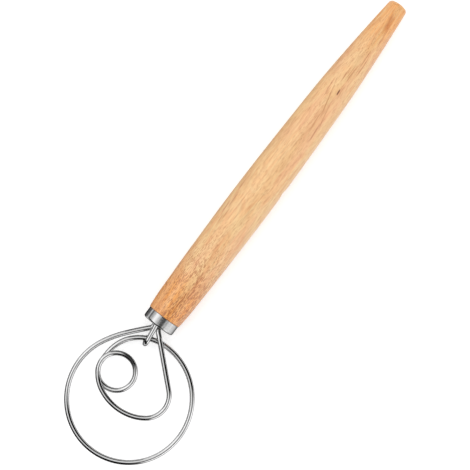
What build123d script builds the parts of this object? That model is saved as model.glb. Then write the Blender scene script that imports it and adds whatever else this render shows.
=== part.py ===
from build123d import *
from math import cos, degrees, pi, radians, sin
import os

# Dough whisk, in millimetres. It is drawn with the handle's axis along X: the whisk head
# lies on the minus side of X = 0, the ferrule's open face, and the handle on the plus side.
# Z points away from the table it lies on, and Y across the head. Angles are in degrees,
# from X towards Y.

# Wire
wire_d = 3.2
turn_gap = 0.5  # least air between two turns that lie one over the other

# Outer ring, to the middle of the wire
ring_r = 39.63
ring_clear = 7.67  # from the ferrule's face to the near side of the ring
ring_aside = -13.5  # the ring hangs to one side of the handle's axis
ring_depth = -2.0  # the ring's plane, behind the handle's axis
ring_oval_share = 0.0092  # the ring is a little longer one way than across it
ring_oval_angle = 22.2  # the way in which it is longer
ring_join_angle = 62.5  # where the wire from the ferrule joins the circle
ring_leave_angle = 364.5  # where its other end leaves it, most of a turn later

# Centre loop, its centre measured from the ring's
loop_r = 11.87
loop_ahead = 8.81
loop_beside = 16.62
loop_join_angle = 134.3
loop_climb_angles = (175.0, 397.0)

# Bowl of the teardrop, measured in the same way, and the straight leg to the ferrule
bowl_r = 14.5
bowl_ahead = 8.43
bowl_beside = -6.83
bowl_join_angle = 216.4
leg_heading = 47.2
leg_rise_run = 8.5  # the last stretch of the leg, which slants back to its place in the bore
leg_mouth_rise = 0.6  # how far in front of that place it reaches the ferrule

# Stations of the wire between its round turns: angle about the turn's centre, reach as a
# share of the turn's radius, and the wire's heading there
held_station_share = (20.0, 0.9961, 115.5)  # where the hook holds it
crown_stations_share = [(33.5, 0.962, 134.7), (61.2, 0.813, 175.9)]
shoulder_stations_share = [(94.5, 0.985, 187.6), (125.0, 0.971, 213.6)]
drop_station_share = (144.8, 1.462, 265.3)

# Bundle of three shanks in the bore: Y and Z of each
ring_shank_aside = 1.75
leg_shank_aside = -1.6
leg_shank_depth = -0.2
hook_shank_aside = 0.9
hook_shank_depth = 2.5
mouth_bend_r = 4.0  # the bends at the ferrule's mouth
mouth_bend_start = 1.2
ring_start_heading = 137.0

# Hook
hook_gap = 0.5  # air between the hook and the ring wire it holds
hook_twist = 8.0  # the curl leans to one side
hook_tail = 1.2

# Ferrule, a drawn steel cup
ferrule_r = 10.8
ferrule_length = 7.0
ferrule_wall = 0.6
ferrule_edge_r = 1.2
ferrule_rim_break = 0.15

# Bore for the shanks, through the ferrule's face into the wood
bore_r = 4.3
bore_depth = 40.0
bore_end_gap = 3.0  # the shanks stop short of the bore's end
glue_recess = 2.0
fit_gap = 0.05  # between parts pushed or glued together

# Handle, turned wood
handle_length = 244.4  # from the ferrule's rim to its end
neck_r = 11.25
belly_r = 13.4
tip_r = 6.3
end_dome = 1.3
end_edge_r = 2.6
shoulder_edge_r = 0.4
neck_heading = 6.6
rim_heading = -5.4
# Distance from the neck as a share of the length, radius as a share of the belly's, heading, and
# how far it runs straight from there as a share of the length. It lies still on the long run.
handle_stations_share = [
    (0.120, 0.9425, 1.8, 0.0),
    (0.160, 0.960, 0.8, 0.126),
    (0.348, 1.000, 0.0, 0.0),
    (0.655, 0.893, -1.6, 0.0),
]

ring_spans = 4  # arcs round the ring, less than a quarter turn each
bowl_spans = 2
straight_angle = 0.01  # an arc that turns less than this is a line
near_turns = 3  # least_gap leaves out stretches nearer along the wire than this many diameters

wire_r = wire_d / 2
front_depth = ring_depth + wire_d + turn_gap
ring_centre = Vector(-ring_clear - ring_r, ring_aside)
loop_centre = ring_centre + Vector(loop_ahead, loop_beside)
bowl_centre = ring_centre + Vector(bowl_ahead, bowl_beside)
shank_depth = bore_depth - bore_end_gap


def along(heading, slope=0.0):
    """The unit vector of a heading, which rises by slope over each unit that it runs."""
    return Vector(cos(radians(heading)), sin(radians(heading)), slope).normalized()


def station(centre, reach, angle, depth, heading=None, slope=0.0):
    """A point of the wire and its direction there. Without a heading it follows the circle."""
    point = centre + along(angle) * reach
    return Vector(point.X, point.Y, depth), along(angle + 90 if heading is None else heading, slope)


def ring_station(angle):
    """A point of the outer ring's oval and the wire's direction there."""
    turn = 2 * radians(angle - ring_oval_angle)
    share = 1 + ring_oval_share * cos(turn)
    lean = 2 * ring_oval_share * sin(turn) / share
    return station(ring_centre, ring_r * share, angle, ring_depth, angle + 90 + degrees(lean))


def arc(start, start_dir, end):
    """The arc that leaves the start along its direction, or the line where they are in line."""
    if (end - start).get_angle(start_dir) < straight_angle:
        return Edge.make_line(start, end)
    return Edge.make_tangent_arc(start, start_dir, end)


def biarc(start, end):
    """The arc, or the pair of arcs, that joins two stations and is tangent at both."""
    (p, p_dir), (q, q_dir) = start, end
    single = arc(p, p_dir, q)
    if (single % 1).get_angle(q_dir) < straight_angle:
        return [single]
    chord = q - p
    spread = 2 * (1 - p_dir.dot(q_dir))
    reach = chord.dot(p_dir + q_dir)
    lever = chord.dot(chord) / (reach + (reach**2 + spread * chord.dot(chord)) ** 0.5)
    p_lever = p + p_dir * lever
    q_lever = q - q_dir * lever
    middle = (p_lever + q_lever) * 0.5
    return [arc(p, p_dir, middle), arc(middle, (q_lever - p_lever).normalized(), q)]


def tangent_line(stations):
    """The arcs and lines that pass smoothly through the stations."""
    return [edge for pair in zip(stations, stations[1:]) for edge in biarc(*pair)]


def bent_wire(stations):
    """Round wire bent through the stations, and the line along its middle."""
    line = Wire(tangent_line(stations))
    start, start_dir = stations[0]
    section = Plane(origin=start, z_dir=start_dir) * Circle(wire_r)
    return sweep(section, path=line), line


def whisk_stations():
    """The one wire of the head, from its first end in the bore round to its second."""
    back, front = ring_depth, front_depth
    out = along(180)
    stations = [(Vector(shank_depth, ring_shank_aside, back), out)]

    # Out of the ferrule, aside to the ring, and round it
    turn = 180 - ring_start_heading
    bend_start = Vector(-mouth_bend_start, ring_shank_aside, back)
    bend = Vector(-sin(radians(turn)), 1 - cos(radians(turn))) * mouth_bend_r
    stations.append((bend_start, out))
    stations.append((bend_start + bend, along(ring_start_heading)))
    sweep_angle = (ring_leave_angle - ring_join_angle) / ring_spans
    for i in range(ring_spans + 1):
        stations.append(ring_station(ring_join_angle + i * sweep_angle))

    # Under the hook, across the head and down into the centre loop, at the back
    for angle, share, heading in [held_station_share, *crown_stations_share]:
        stations.append(station(ring_centre, ring_r * share, angle, back, heading))

    # One turn of the centre loop, which climbs from the back to the front
    climb_from, climb_to = loop_climb_angles
    climb = front - back
    half_run = loop_r * radians(climb_to - climb_from) / 2
    halfway = (climb_from + climb_to) / 2
    stations.append(station(loop_centre, loop_r, loop_join_angle, back))
    stations.append(station(loop_centre, loop_r, climb_from, back))
    stations.append(station(loop_centre, loop_r, halfway, back + climb / 2, slope=climb / half_run / 2))
    stations.append(station(loop_centre, loop_r, climb_to, front))

    # Over the loop's own start, and down the teardrop's side to its bowl
    for angle, share, heading in shoulder_stations_share:
        stations.append(station(loop_centre, loop_r * share, angle, front, heading))
    angle, share, heading = drop_station_share
    stations.append(station(bowl_centre, bowl_r * share, angle, front, heading))
    bowl_end = leg_heading - 90
    sweep_angle = (bowl_end + 360 - bowl_join_angle) / bowl_spans
    for i in range(bowl_spans + 1):
        stations.append(station(bowl_centre, bowl_r, bowl_join_angle + i * sweep_angle, front))

    # The straight leg over the ring, then slanting back into the bore
    leg_start = stations[-1][0]
    leg_dir = along(leg_heading)
    turn_in = 1 - cos(radians(leg_heading))
    leg_run = (leg_shank_aside - mouth_bend_r * turn_in - leg_start.Y) / leg_dir.Y
    leg_end = leg_start + leg_dir * leg_run
    leg_end.Z = leg_shank_depth + leg_mouth_rise
    level_end = leg_start + leg_dir * (leg_run - leg_rise_run)
    slope = (leg_end.Z - front) / leg_rise_run
    stations.append((level_end, leg_dir))
    stations.append((leg_end, along(leg_heading, slope)))
    bore_x = leg_end.X + mouth_bend_r * sin(radians(leg_heading))
    stations.append((Vector(bore_x, leg_shank_aside, leg_shank_depth), along(0)))
    stations.append((Vector(shank_depth, leg_shank_aside, leg_shank_depth), along(0)))
    return stations


def hook_stations():
    """The hook's shank from the bore, and its curl round the back of the ring wire."""
    hook_r = wire_d + hook_gap
    angle, share, heading = held_station_share
    held, _ = station(ring_centre, ring_r * share, angle, ring_depth, heading)
    mouth = Vector(0, hook_shank_aside, hook_shank_depth)
    lean = radians(hook_twist)
    across = Vector(0, sin(lean), -cos(lean))
    shank_end = held - across * hook_r
    shank_dir = (shank_end - mouth).normalized()
    down = (shank_dir - across * across.dot(shank_dir)).normalized()
    return [
        (Vector(shank_depth, hook_shank_aside, hook_shank_depth), along(180)),
        (mouth, along(180)),
        (mouth + shank_dir * mouth_bend_r, shank_dir),
        (shank_end, down),
        (held + down * hook_r, across),
        (held + across * hook_r, -down),
        (held + across * hook_r - down * hook_tail, -down),
    ]


def least_gap(line, apart):
    """The least air between stretches of the wire that lie at least apart along it."""
    count = int(line.length / (wire_r / 2))
    points = [line.position_at(i / count) for i in range(count + 1)]
    skip = int(apart / line.length * count) + 1
    least = line.length
    for i, point in enumerate(points):
        for other in points[i + skip :]:
            least = min(least, (point - other).length)
    return least - wire_d


def rims_of(solid, radius):
    """The round edges of that radius, in order along the handle."""
    circles = solid.edges().filter_by(GeomType.CIRCLE)
    return circles.filter_by(lambda edge: abs(edge.radius - radius) < fit_gap).sort_by(Axis.X)


def make_ferrule():
    """A drawn steel cup over the handle's tenon, with a round hole for the shanks."""
    cup = revolve(
        make_face(
            Polyline(
                (0, bore_r),
                (0, ferrule_r),
                (ferrule_length, ferrule_r),
                (ferrule_length, ferrule_r - ferrule_wall),
                (ferrule_wall, ferrule_r - ferrule_wall),
                (ferrule_wall, bore_r),
                (0, bore_r),
            )
        ),
        Axis.X,
    )
    cup = fillet(rims_of(cup, ferrule_r)[0], ferrule_edge_r)
    return chamfer(rims_of(cup, ferrule_r)[-1], ferrule_rim_break)


def make_handle():
    """Turned wood: a barrel that tapers to a domed end, a tenon for the ferrule and the bore."""
    end_x = ferrule_length + handle_length
    neck = Vector(ferrule_length, neck_r)
    rim = Vector(end_x - end_dome, tip_r)
    stations = [(neck, along(neck_heading))]
    for x_share, r_share, heading, run_share in handle_stations_share:
        point = Vector(ferrule_length + x_share * handle_length, r_share * belly_r)
        stations.append((point, along(heading)))
        if run_share:
            stations.append((point + along(heading) * run_share * handle_length, along(heading)))
    stations.append((rim, along(rim_heading)))
    dome_r = (tip_r**2 + end_dome**2) / (2 * end_dome)
    profile = [
        Line((ferrule_length, 0), neck),
        *tangent_line(stations),
        RadiusArc(rim, (end_x, 0), dome_r),
        Line((end_x, 0), (ferrule_length, 0)),
    ]
    body = revolve(make_face(profile), Axis.X)
    body = fillet(rims_of(body, tip_r), end_edge_r)
    body = fillet(rims_of(body, neck_r), shoulder_edge_r)
    tenon_r = ferrule_r - ferrule_wall - fit_gap
    tenon_length = ferrule_length - ferrule_wall
    tenon = Cylinder(tenon_r, tenon_length, align=(Align.CENTER, Align.CENTER, Align.MIN))
    bore = Cylinder(bore_r, bore_depth, align=(Align.CENTER, Align.CENTER, Align.MIN))
    along_x = Plane.YZ
    return body + along_x.offset(ferrule_wall) * tenon - along_x * bore


def make_adhesive(shanks):
    """The set adhesive that fills the bore round the three shanks."""
    length = bore_depth - glue_recess
    plug = Cylinder(bore_r - fit_gap, length, align=(Align.CENTER, Align.CENTER, Align.MIN))
    plug = Plane.YZ.offset(glue_recess) * plug
    for y, z in shanks:
        channel = Cylinder(wire_r + fit_gap, shank_depth, align=(Align.CENTER, Align.CENTER, Align.MIN))
        plug -= Pos(0, y, z) * (Plane.YZ * channel)
    return plug


whisk, whisk_line = bent_wire(whisk_stations())
hook, hook_line = bent_wire(hook_stations())
shanks = [
    (ring_shank_aside, ring_depth),
    (leg_shank_aside, leg_shank_depth),
    (hook_shank_aside, hook_shank_depth),
]
parts = {
    "handle": make_handle(),
    "ferrule": make_ferrule(),
    "whisk_wire": whisk,
    "hook_wire": hook,
    "bore_adhesive": make_adhesive(shanks),
}

# Set down on the table, with the origin under the middle of the whole
extent = Compound(list(parts.values())).bounding_box()
middle = extent.center()
set_down = Pos(-middle.X, -middle.Y, -extent.min.Z)

os.makedirs("parts", exist_ok=True)
for name, solid in parts.items():
    export_step(set_down * solid, f"parts/{name}.step")

print("set down by:", round(-middle.X, 3), round(-middle.Y, 3), round(-extent.min.Z, 3))
print("wire of the head:", round(whisk_line.length, 1), "mm long")
print("its volume over section times length:", round(whisk.volume / (pi * wire_r**2 * whisk_line.length), 4))
print("least gap to itself:", round(least_gap(whisk_line, near_turns * wire_d), 2), "mm")
print("wire of the hook:", round(hook_line.length, 1), "mm long")
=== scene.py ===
from math import radians

import bpy
from mathutils import Euler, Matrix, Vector


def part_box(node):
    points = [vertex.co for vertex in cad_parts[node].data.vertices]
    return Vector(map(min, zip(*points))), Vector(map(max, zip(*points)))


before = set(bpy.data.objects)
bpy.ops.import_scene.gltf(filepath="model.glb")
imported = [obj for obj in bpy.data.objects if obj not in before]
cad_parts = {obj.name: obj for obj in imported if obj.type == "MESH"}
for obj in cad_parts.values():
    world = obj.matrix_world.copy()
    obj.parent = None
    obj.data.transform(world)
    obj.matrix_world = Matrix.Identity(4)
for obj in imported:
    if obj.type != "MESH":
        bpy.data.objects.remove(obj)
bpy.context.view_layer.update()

MM = 0.001

# The whisk lies on a table, its handle along +X, and is seen from straight above. Blender counts
# the sensor in millimetres and all else in metres.
VIEW_MIDDLE = Vector((-6.98 * MM, 8.92 * MM, 13.4 * MM))
VIEW_WIDTH = 293.75 * MM
VIEW_TURN = radians(-52.96)
CAMERA_HEIGHT = 1.2
SENSOR_WIDTH = 36.0

# The handle's axis, and the ferrule's face and length along it, in millimetres
AXIS_Y = 13.482
AXIS_Z = 13.4
FERRULE_LOW, FERRULE_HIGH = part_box("ferrule")
FERRULE_FACE = FERRULE_LOW[0] / MM
FERRULE_LENGTH = (FERRULE_HIGH[0] - FERRULE_LOW[0]) / MM


def make_camera():
    data = bpy.data.cameras.new("camera")
    data.sensor_width = SENSOR_WIDTH
    data.lens = SENSOR_WIDTH * CAMERA_HEIGHT / VIEW_WIDTH
    camera = bpy.data.objects.new("camera", data)
    camera.location = VIEW_MIDDLE + Vector((0, 0, CAMERA_HEIGHT))
    camera.rotation_euler = Euler((0, 0, VIEW_TURN))
    bpy.context.scene.collection.objects.link(camera)
    bpy.context.scene.camera = camera


def facing(azimuth, elevation):
    """The turn that brings +X to an azimuth from +X and an elevation, both in degrees."""
    return Euler((0, radians(-elevation), radians(azimuth))).to_matrix()


# Nodes


def colour(red, green, blue):
    """The linear colour of a screen colour given as 0 to 255."""

    def linear(value):
        share = value / 255
        return share / 12.92 if share <= 0.04045 else ((share + 0.055) / 1.055) ** 2.4

    return (linear(red), linear(green), linear(blue), 1.0)


def grey(level):
    return (level, level, level, 1.0)


class Nodes:
    """A node tree with short calls for the nodes and links that the finishes use."""

    def __init__(self, tree):
        self.tree = tree

    def add(self, kind, **settings):
        node = self.tree.nodes.new(kind)
        for name, value in settings.items():
            setattr(node, name, value)
        return node

    def put(self, socket, value):
        """Links the value into the socket if it is an output, or else writes it there."""
        if isinstance(value, bpy.types.NodeSocket):
            self.tree.links.new(value, socket)
        else:
            socket.default_value = value

    def show(self, output_kind, shader):
        """Links a shader to the surface of a new material or world output."""
        self.put(self.add(output_kind).inputs["Surface"], shader)

    def math(self, operation, *values):
        node = self.add("ShaderNodeMath", operation=operation)
        for socket, value in zip(node.inputs, values):
            self.put(socket, value)
        return node.outputs[0]

    def product(self, first, *others):
        for other in others:
            first = self.math("MULTIPLY", first, other)
        return first

    def dot(self, a, b):
        node = self.add("ShaderNodeVectorMath", operation="DOT_PRODUCT")
        self.put(node.inputs[0], a)
        self.put(node.inputs[1], b)
        return node.outputs["Value"]

    def split(self, vector):
        node = self.add("ShaderNodeSeparateXYZ")
        self.put(node.inputs[0], vector)
        return node.outputs

    def ramp(self, value, low, high, to_low=0.0, to_high=1.0):
        """A smooth step from to_low to to_high as the value goes from low to high."""
        node = self.add("ShaderNodeMapRange", interpolation_type="SMOOTHSTEP")
        for socket, given in zip(node.inputs, (value, low, high, to_low, to_high)):
            self.put(socket, given)
        return node.outputs[0]

    def mix(self, factor, a, b):
        node = self.add("ShaderNodeMix", data_type="RGBA")
        self.put(node.inputs["Factor"], factor)
        self.put(node.inputs["A"], a)
        self.put(node.inputs["B"], b)
        return node.outputs["Result"]

    def stretch(self, coordinates, scale, turn=0.0, shift=(0, 0, 0)):
        node = self.add("ShaderNodeMapping")
        self.put(node.inputs["Vector"], coordinates)
        self.put(node.inputs["Scale"], scale)
        node.inputs["Rotation"].default_value = (0, 0, turn)
        node.inputs["Location"].default_value = shift
        return node.outputs["Vector"]

    def noise(self, coordinates, detail=2.0, roughness=0.5):
        node = self.add("ShaderNodeTexNoise")
        self.put(node.inputs["Vector"], coordinates)
        node.inputs["Scale"].default_value = 1.0
        node.inputs["Detail"].default_value = detail
        node.inputs["Roughness"].default_value = roughness
        return node.outputs["Fac"]

    def group(self, tree, label, values):
        """Places a node group with a value or a link for each of its inputs."""
        node = self.add("ShaderNodeGroup", node_tree=tree, label=label)
        for name, value in values.items():
            self.put(node.inputs[name], value)
        return node.outputs


def new_group(name, inputs, outputs):
    """An empty node group: its nodes, the values given to it, and the sockets of its results."""
    tree = bpy.data.node_groups.new(name, "ShaderNodeTree")
    for side, sockets in (("INPUT", inputs), ("OUTPUT", outputs)):
        for label, kind in sockets:
            tree.interface.new_socket(label, in_out=side, socket_type="NodeSocket" + kind)
    nodes = Nodes(tree)
    return nodes, nodes.add("NodeGroupInput").outputs, nodes.add("NodeGroupOutput").inputs


def empty_material(name):
    material = bpy.data.materials.new(name)
    material.use_nodes = True
    material.node_tree.nodes.clear()
    return material, Nodes(material.node_tree)


def new_finish(name):
    """A material with its shader and the coordinates that its patterns read."""
    material, nodes = empty_material(name)
    shader = nodes.add("ShaderNodeBsdfPrincipled")
    nodes.show("ShaderNodeOutputMaterial", shader.outputs[0])
    place = nodes.add("ShaderNodeTexCoord").outputs["Object"]
    return material, nodes, shader, place


def make_softbox_group():
    """Mask of a square light as seen in a direction: 1 inside it, and soft at its edges."""
    nodes, given, result = new_group(
        "softbox",
        [
            ("Direction", "Vector"),
            ("Middle", "Vector"),
            ("Across", "Vector"),
            ("Up", "Vector"),
            ("Half Width", "Float"),
            ("Half Height", "Float"),
            ("Softness", "Float"),
        ],
        [("Mask", "Float")],
    )
    ahead = nodes.dot(given["Direction"], given["Middle"])
    mask = nodes.math("GREATER_THAN", ahead, 0.0)
    for axis, half in (("Across", "Half Width"), ("Up", "Half Height")):
        reach = nodes.dot(given["Direction"], given[axis])
        share = nodes.math("ABSOLUTE", nodes.math("DIVIDE", reach, ahead))
        inner = nodes.math("SUBTRACT", given[half], given["Softness"])
        outer = nodes.math("ADD", given[half], given["Softness"])
        mask = nodes.product(mask, nodes.ramp(share, inner, outer, 1.0, 0.0))
    nodes.put(result["Mask"], mask)
    return nodes.tree


# Studio

# Strength of the plain light on the whole object
PLAIN_LIGHT = 1.12

# Brightness that metal sees between the softboxes and cards
DIM_ROOM = 0.12

# Softboxes and black cards that metal sees: azimuth from +X and elevation of the middle, half
# width and half height as tangents, softness, and the brightness there
STUDIO = [
    ("key softbox", 89, 53, 0.85, 0.85, 0.11, 1.29),
    ("key softbox core", 103, 49, 0.35, 0.22, 0.19, 2.43),
    ("fill softbox", 268, 20, 0.88, 0.37, 0.04, 2.23),
    ("left card", 135, -7, 0.86, 0.98, 0.07, 0.00),
    ("handle side card", -34, 18, 0.44, 1.75, 0.27, 0.00),
    ("head side card", 194, 5, 0.37, 1.64, 0.04, 0.00),
    ("top strip", 266, 56, 0.46, 0.08, 0.04, 1.26),
    ("low card", 3, 4, 1.26, 0.90, 0.08, 0.00),
    ("fill softbox core", 269, 28, 0.10, 0.38, 0.10, 1.41),
]

# The table's size in metres, its tone, and the glow that brings it up to white
TABLE_SIZE = 6.0
TABLE_TONE = 0.8
TABLE_GLOW = 0.42

# Beyond the head the table is dark to metal, as a black flag laid there would be
FLAG_EDGE = -170 * MM
FLAG_BLUR = 12 * MM
FLAG_DARKNESS = 0.92

# Grey cards that only gloss sees, in millimetres: middle, size, brightness
CARDS = [
    ("camera_card", (-68, 1, 100), (32, 58), 0.14),
    ("left_card", (37, 69, 0.5), (266, 84), 0.22),
]


def make_world(softbox):
    world = bpy.data.worlds.new("studio")
    bpy.context.scene.world = world
    world.use_nodes = True
    world.cycles.sampling_method = "NONE"
    world.node_tree.nodes.clear()
    nodes = Nodes(world.node_tree)
    direction = nodes.add("ShaderNodeTexCoord").outputs["Generated"]
    brightness = DIM_ROOM
    for name, azimuth, elevation, width, height, softness, strength in STUDIO:
        turn = facing(azimuth, elevation)
        values = {
            "Direction": direction,
            "Middle": turn @ Vector((1, 0, 0)),
            "Across": turn @ Vector((0, 1, 0)),
            "Up": turn @ Vector((0, 0, 1)),
            "Half Width": width,
            "Half Height": height,
            "Softness": softness,
        }
        mask = nodes.group(softbox, name, values)["Mask"]
        behind = nodes.product(brightness, nodes.math("SUBTRACT", 1.0, mask))
        brightness = nodes.math("MULTIPLY_ADD", mask, strength, behind)

    path = nodes.add("ShaderNodeLightPath").outputs
    light = nodes.product(path["Is Diffuse Ray"], PLAIN_LIGHT)
    mirrored = nodes.product(path["Is Glossy Ray"], brightness)
    white = nodes.math("MAXIMUM", path["Is Camera Ray"], path["Is Transmission Ray"])
    back = nodes.add("ShaderNodeBackground")
    total = nodes.math("ADD", nodes.math("ADD", light, mirrored), white)
    nodes.put(back.inputs["Strength"], total)
    nodes.show("ShaderNodeOutputWorld", back.outputs[0])


def make_lamp(name, azimuth, elevation, distance, size, power):
    """A square lamp that shines on the middle of the object and doesn't show in metal."""
    data = bpy.data.lights.new(name, "AREA")
    data.shape = "SQUARE"
    data.size = size
    data.energy = power
    lamp = bpy.data.objects.new(name, data)
    turn = facing(azimuth, elevation)
    lamp.location = turn @ Vector((distance, 0, 0))
    lamp.rotation_euler = (turn @ Euler((0, radians(90), 0)).to_matrix()).to_euler()
    lamp.visible_glossy = False
    bpy.context.scene.collection.objects.link(lamp)


def add_plane(name, size, middle):
    bpy.ops.object.select_all(action="DESELECT")
    bpy.ops.mesh.primitive_plane_add(size=size, location=middle)
    plane = bpy.context.object
    plane.name = name
    return plane


def make_table():
    """A table that is white to the camera and in mirrors, and still takes the object's shadow."""
    table = add_plane("table", TABLE_SIZE, (0, 0, 0))
    material, nodes = empty_material("table_white")
    path = nodes.add("ShaderNodeLightPath").outputs
    place = nodes.split(nodes.add("ShaderNodeTexCoord").outputs["Object"])
    flag = nodes.ramp(place["X"], FLAG_EDGE - FLAG_BLUR, FLAG_EDGE, FLAG_DARKNESS, 0.0)
    bare = nodes.math("SUBTRACT", 1.0, nodes.product(path["Is Glossy Ray"], flag))
    matt = nodes.add("ShaderNodeBsdfDiffuse")
    nodes.put(matt.inputs["Color"], nodes.mix(bare, grey(0.0), grey(TABLE_TONE)))
    seen = nodes.math("MAXIMUM", path["Is Camera Ray"], path["Is Glossy Ray"])
    seen = nodes.math("MAXIMUM", seen, path["Is Transmission Ray"])
    glow = nodes.add("ShaderNodeEmission")
    nodes.put(glow.inputs["Strength"], nodes.product(seen, bare, TABLE_GLOW))
    both = nodes.add("ShaderNodeAddShader")
    nodes.put(both.inputs[0], matt.outputs[0])
    nodes.put(both.inputs[1], glow.outputs[0])
    nodes.show("ShaderNodeOutputMaterial", both.outputs[0])
    table.data.materials.append(material)


def make_card(name, middle, size, strength):
    card = add_plane(name, MM, Vector(middle) * MM)
    bpy.ops.object.mode_set(mode="EDIT")
    bpy.ops.transform.resize(value=(*size, 1))
    bpy.ops.object.mode_set(mode="OBJECT")
    for kind in ("camera", "diffuse", "transmission", "volume_scatter", "shadow"):
        setattr(card, "visible_" + kind, False)
    material, nodes = empty_material(name + "_grey")
    glow = nodes.add("ShaderNodeEmission")
    glow.inputs["Strength"].default_value = strength
    nodes.show("ShaderNodeOutputMaterial", glow.outputs[0])
    card.data.materials.append(material)


# Wood. Places on the handle are in millimetres: x from the ferrule's face, y and z from the axis.

CREAM = colour(248, 210, 153)
STRAW = colour(247, 196, 138)
ROSE = colour(242, 182, 138)
AMBER = colour(246, 168, 84)
PEACH = colour(236, 158, 108)
STAIN = colour(196, 104, 48)
RUST = colour(180, 104, 58)
PORE = colour(158, 82, 38)
UMBER = colour(122, 64, 38)

# The stretches of warmer wood: where the near one starts to fade and is gone, and where the far
# one starts and is full, with its strength there
NEAR_STRETCH = (16.0, 50.0)
FAR_STRETCH = (205.0, 242.0)
FAR_STRENGTH = 0.85

# Growth layers lie across this direction, wander by so many millimetres, and come so many to one
LAYER_DIRECTION = (0.05, 0.34, 0.60)
LAYER_SWAY = 26.0
LAYERS_PER_MM = 0.34

# Pores in a coarser and a finer size: cells to a millimetre along and across, and their turn
PORES = [
    (0.22, 1.3, 0.05),
    (0.36, 2.0, -0.06),
]
# How far inside a cell's crowd a pore begins and is at its full strength, and how deep it dips
PORE_EDGE = (-0.04, 0.10)
PORE_STRENGTH = 0.72
PORE_BUMP = 0.2
PORE_DEPTH = 0.1 * MM

# Lines of the grain on the upper side: start, end and half width
GRAIN_LINES = [
    ((160.0, -4.2), (194.0, 4.8), 0.50),
    ((155.0, -7.0), (178.0, -2.2), 0.40),
    ((174.0, 3.4), (191.0, 5.0), 0.40),
    ((152.0, -3.0), (168.0, -1.4), 0.45),
    ((146.0, -6.2), (162.0, -5.2), 0.40),
    ((196.0, -5.2), (215.0, -4.2), 0.55),
    ((203.0, -3.4), (219.0, -2.7), 0.40),
    ((219.0, -4.6), (237.0, -3.6), 0.50),
    ((73.0, 8.4), (82.0, 8.9), 0.40),
    ((76.0, 7.2), (87.0, 7.7), 0.40),
    ((79.0, 10.0), (91.0, 10.6), 0.45),
    ((84.0, 8.8), (99.0, 9.6), 0.50),
    ((97.0, 10.6), (109.0, 11.2), 0.45),
    ((188.0, 0.6), (203.0, 1.2), 0.40),
    ((191.0, -0.8), (204.0, -0.4), 0.40),
    ((190.0, -2.2), (206.0, -1.6), 0.35),
    ((27.0, -6.6), (44.0, -0.4), 0.50),
    ((31.0, -6.0), (49.0, 1.2), 0.35),
]
# The lines wander with the growth layers, by so many millimetres about a shift that evens it out
LINE_STRENGTH = 0.62
LINE_SWAY = 3.0
LINE_SHIFT = 1.5

# A dark fleck and a stain, given in the same way
GRAIN_FLECK = ((180.8, -2.7), (185.9, -2.2), 0.62)
FLECK_STRENGTH = 0.95
END_STAIN = ((229.0, -2.6), (245.0, -0.8), 2.30)
STAIN_STRENGTH = 0.60

# The dark line where the wood meets the ferrule
JOINT_WIDTH = 0.7
JOINT_STRENGTH = 0.55

WOOD_ROUGHNESS = 0.33
WOOD_SPECULAR = 0.70


class WoodNodes(Nodes):
    """Nodes that know the place on the handle, and patterns drawn out along it."""

    def __init__(self, tree, place):
        super().__init__(tree)
        start = (-FERRULE_FACE, -AXIS_Y, -AXIS_Z)
        self.spot = self.stretch(place, (1 / MM,) * 3, shift=start)
        self.x, self.y, self.z = self.split(self.spot)

    def figure(self, along, across, shift=(0, 0, 0), turn=0.0, detail=2.0, roughness=0.5):
        """Noise with so many waves to a millimetre along and across the handle."""
        stretched = self.stretch(self.spot, (along, across, across), turn, shift)
        return self.noise(stretched, detail, roughness)

    def tint(self, base, shade, figure, onset, strength, reach=None):
        """The base with a shade over it, as far as the figure is past its onset.

        With a reach, the strength is a pair, for its start and its end along the handle.
        """
        if reach is None:
            mask = self.ramp(figure, *onset, 0.0, strength)
        else:
            mask = self.product(self.ramp(figure, *onset), self.ramp(self.x, *reach, *strength))
        return self.mix(mask, base, shade)

    def streak(self, y, start, end, half):
        """Mask of a thin line from start to end that tapers away at both ends."""
        (x0, y0), (x1, y1) = start, end
        slope = (y1 - y0) / (x1 - x0)
        line = self.math("MULTIPLY_ADD", self.x, slope, y0 - slope * x0)
        off = self.math("ABSOLUTE", self.math("SUBTRACT", y, line))
        taper = (x1 - x0) / 3
        rise = self.ramp(self.x, x0, x0 + taper)
        fall = self.ramp(self.x, x1 - taper, x1, 1.0, 0.0)
        return self.product(rise, fall, self.ramp(off, half * 0.3, half, 1.0, 0.0))


def add_growth_layers(wood, sway):
    """Cream and straw in uneven, wandering layers, with a rosy blush."""
    depth = wood.math("MULTIPLY_ADD", sway, LAYER_SWAY, wood.dot(wood.spot, LAYER_DIRECTION))
    band = wood.add("ShaderNodeTexNoise", noise_dimensions="1D")
    wood.put(band.inputs["W"], wood.product(depth, LAYERS_PER_MM))
    band.inputs["Scale"].default_value = 1.0
    band.inputs["Detail"].default_value = 2.0
    base = wood.mix(wood.ramp(band.outputs["Fac"], 0.33, 0.69), STRAW, CREAM)
    blush = wood.figure(0.022, 0.11, shift=(7, 3, 1))
    return wood.tint(base, ROSE, blush, (0.45, 0.68), strength=0.52)


def add_warmth(wood, base, near):
    """Amber by the ferrule and at the end, and a peach flush that fades along the handle."""
    far = wood.ramp(wood.x, *FAR_STRETCH, 0.0, FAR_STRENGTH)
    uneven = wood.figure(0.045, 0.32, shift=(1, 8, 2), detail=3)
    uneven = wood.ramp(uneven, 0.36, 0.62, 0.50, 1.0)
    base = wood.mix(wood.product(wood.math("MAXIMUM", near, far), uneven), base, AMBER)
    flush = wood.figure(0.04, 0.28, shift=(9, 2, 5), detail=3)
    return wood.tint(base, PEACH, flush, (0.48, 0.62), strength=(0.36, 0.09), reach=(26, 120))


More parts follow.
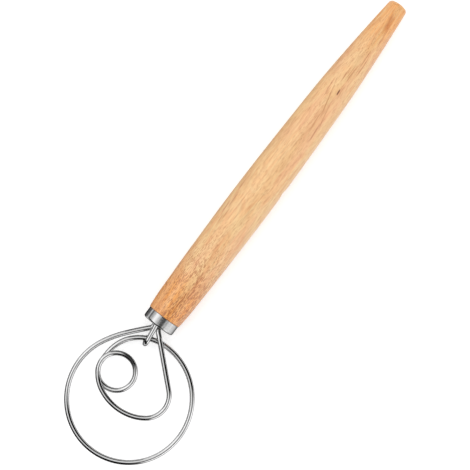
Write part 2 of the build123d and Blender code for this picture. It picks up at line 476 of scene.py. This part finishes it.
def add_fibres(wood, base, fibre):
    """Soft short blotches, fibres and fine dark hairs, with paler gleams between them."""
    mottle = wood.figure(0.06, 0.60, shift=(4, 1, 6), detail=3, roughness=0.6)
    base = wood.tint(base, RUST, mottle, (0.46, 0.70), strength=(0.28, 0.16), reach=(40, 170))
    base = wood.tint(base, RUST, fibre, (0.38, 0.70), strength=0.22)
    hairs = wood.figure(0.24, 2.6, shift=(3, 3, 3), turn=0.06)
    base = wood.tint(base, RUST, hairs, (0.50, 0.70), strength=0.46)
    gleam = wood.figure(0.045, 0.75, shift=(0, 9, 4), detail=3)
    return wood.tint(base, CREAM, gleam, (0.46, 0.68), strength=(0.038, 0.38), reach=(26, 60))


def make_pore_mask(wood):
    """Short dashes along the grain, in patches, that crowd by the ferrule."""
    patch = wood.ramp(wood.figure(0.05, 0.16, shift=(2, 5, 8)), 0.28, 0.64, 0.66, 1.10)
    along = wood.ramp(wood.x, 24.0, 88.0, 0.42, 0.18)
    across = wood.ramp(wood.y, 2.0, 12.0, 1.0, 0.76)
    crowd = wood.product(along, across, patch)
    mask = 0.0
    for cells_along, cells_across, turn in PORES:
        cells = wood.add("ShaderNodeTexVoronoi")
        scale = (cells_along, cells_across, cells_across)
        wood.put(cells.inputs["Vector"], wood.stretch(wood.spot, scale, turn))
        cells.inputs["Scale"].default_value = 1.0
        inside = wood.math("SUBTRACT", crowd, cells.outputs["Distance"])
        mask = wood.math("MAXIMUM", mask, wood.ramp(inside, *PORE_EDGE))
    return mask


def add_marks(wood, base, sway, fibre):
    """The upper side's slanting grain lines, its fleck, and its stain near the end."""
    upper = wood.ramp(wood.z, 0.0, 1.0)
    broken = wood.ramp(fibre, 0.30, 0.60, 0.55, 1.0)
    bent = wood.math("MULTIPLY_ADD", sway, LINE_SWAY, wood.math("SUBTRACT", wood.y, LINE_SHIFT))
    lines = 0.0
    for start, end, half in GRAIN_LINES:
        lines = wood.math("MAXIMUM", lines, wood.streak(bent, start, end, half))
    base = wood.mix(wood.product(lines, broken, upper, LINE_STRENGTH), base, RUST)
    fleck = wood.streak(wood.y, *GRAIN_FLECK)
    base = wood.mix(wood.product(fleck, upper, FLECK_STRENGTH), base, UMBER)
    stain = wood.streak(wood.y, *END_STAIN)
    return wood.mix(wood.product(stain, upper, broken, STAIN_STRENGTH), base, STAIN)


def make_wood():
    """Pale oiled hardwood: soft growth layers, fine fibres and dark pores."""
    material, nodes, shader, place = new_finish("oiled_wood")
    wood = WoodNodes(nodes.tree, place)
    sway = wood.figure(0.016, 0.07)
    fibre = wood.figure(0.085, 1.4, detail=3, roughness=0.6)
    near = wood.ramp(wood.x, *NEAR_STRETCH, 1.0, 0.0)

    base = add_growth_layers(wood, sway)
    base = add_warmth(wood, base, near)
    base = add_fibres(wood, base, fibre)
    pores = make_pore_mask(wood)
    base = wood.mix(wood.product(pores, PORE_STRENGTH), base, wood.mix(near, RUST, PORE))
    base = add_marks(wood, base, sway, fibre)
    joint_end = FERRULE_LENGTH + JOINT_WIDTH
    joint = wood.ramp(wood.x, FERRULE_LENGTH, joint_end, JOINT_STRENGTH, 0.0)
    base = wood.mix(joint, base, UMBER)

    wood.put(shader.inputs["Base Color"], base)
    shader.inputs["Roughness"].default_value = WOOD_ROUGHNESS
    shader.inputs["Specular IOR Level"].default_value = WOOD_SPECULAR
    bump = wood.add("ShaderNodeBump")
    bump.inputs["Strength"].default_value = PORE_BUMP
    bump.inputs["Distance"].default_value = PORE_DEPTH
    wood.put(bump.inputs["Height"], wood.math("SUBTRACT", 1.0, pores))
    wood.put(shader.inputs["Normal"], bump.outputs[0])
    return material


# Metal and adhesive

# The lines in steel go from a darker to a paler share of its tone
GRAIN_ONSET = (0.3, 0.7)
GRAIN_DARK = 0.95
GRAIN_PALE = 1.03

# Towards its rim, as it turns away from the camera, a metal's colour is darkened to this tone by
# this share: painted shade standing in for dark reflections there
RIM_SHADE_TONE = 0.03
RIM_SHADE_STRENGTH = 0.75
METAL_SPECULAR_TINT = 0.2

ADHESIVE_WAVES = 400
ADHESIVE_DARK = colour(150, 120, 80)
ADHESIVE_PALE = colour(190, 160, 112)
ADHESIVE_ROUGHNESS = 0.3


def make_steel_grain_group():
    """Fine lines in steel: a tone and a roughness that vary together."""
    nodes, given, result = new_group(
        "steel_grain",
        [
            ("Place", "Vector"),
            ("Waves", "Vector"),
            ("Tone", "Float"),
            ("Roughness", "Float"),
            ("Grain", "Float"),
        ],
        [("Tone", "Float"), ("Roughness", "Float")],
    )
    lines = nodes.noise(nodes.stretch(given["Place"], given["Waves"]))
    dark = nodes.product(given["Tone"], GRAIN_DARK)
    pale = nodes.product(given["Tone"], GRAIN_PALE)
    smooth = nodes.math("SUBTRACT", given["Roughness"], given["Grain"])
    rough = nodes.math("ADD", given["Roughness"], given["Grain"])
    nodes.put(result["Tone"], nodes.ramp(lines, *GRAIN_ONSET, dark, pale))
    nodes.put(result["Roughness"], nodes.ramp(lines, *GRAIN_ONSET, smooth, rough))
    return nodes.tree


def make_metal(name, steel_grain, rim_shade, **values):
    """Steel with its own values for the grain, whose colour is darkened from one facing value to
    another: painted shade at its rims.
    """
    material, nodes, shader, place = new_finish(name)
    grain = nodes.group(steel_grain, "steel grain", {"Place": place, **values})
    nodes.put(shader.inputs["Roughness"], grain["Roughness"])
    # Painted shade: the colour darkens at the rims as they face away from the camera, standing in
    # for dark reflections there
    rim_facing = nodes.add("ShaderNodeLayerWeight").outputs["Facing"]
    dark = nodes.ramp(rim_facing, *rim_shade, 0.0, RIM_SHADE_STRENGTH)
    nodes.put(shader.inputs["Base Color"], nodes.mix(dark, grain["Tone"], grey(RIM_SHADE_TONE)))
    shader.inputs["Metallic"].default_value = 1.0
    shader.inputs["Specular Tint"].default_value = grey(METAL_SPECULAR_TINT)
    return material


def make_adhesive():
    material, nodes, shader, place = new_finish("set_adhesive")
    cloud = nodes.noise(nodes.stretch(place, (ADHESIVE_WAVES,) * 3), detail=3)
    nodes.put(shader.inputs["Base Color"], nodes.mix(cloud, ADHESIVE_DARK, ADHESIVE_PALE))
    shader.inputs["Roughness"].default_value = ADHESIVE_ROUGHNESS
    return material


def finish_node(name, material):
    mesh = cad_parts[name].data
    mesh.materials.clear()
    mesh.materials.append(material)


bpy.context.scene.view_settings.view_transform = "Standard"
make_camera()
make_world(make_softbox_group())
make_lamp("key lamp", azimuth=90, elevation=76, distance=1.6, size=1.0, power=4.0)
make_table()
for name, middle, size, strength in CARDS:
    make_card(name, middle, size, strength)

steel_grain = make_steel_grain_group()
satin = make_metal(
    "satin_steel",
    steel_grain,
    # facing values between which the rims get their painted shade
    rim_shade=(0.45, 0.95),
    Waves=(3000, 30, 30),
    Tone=0.50,
    Roughness=0.20,
    Grain=0.04,
)
polished = make_metal(
    "polished_steel",
    steel_grain,
    # facing values between which the rims get their painted shade
    rim_shade=(0.28, 0.70),
    Waves=(900, 900, 900),
    Tone=0.64,
    Roughness=0.05,
    Grain=0.01,
)
finish_node("handle", make_wood())
finish_node("ferrule", satin)
finish_node("whisk_wire", polished)
finish_node("hook_wire", polished)
finish_node("bore_adhesive", make_adhesive())
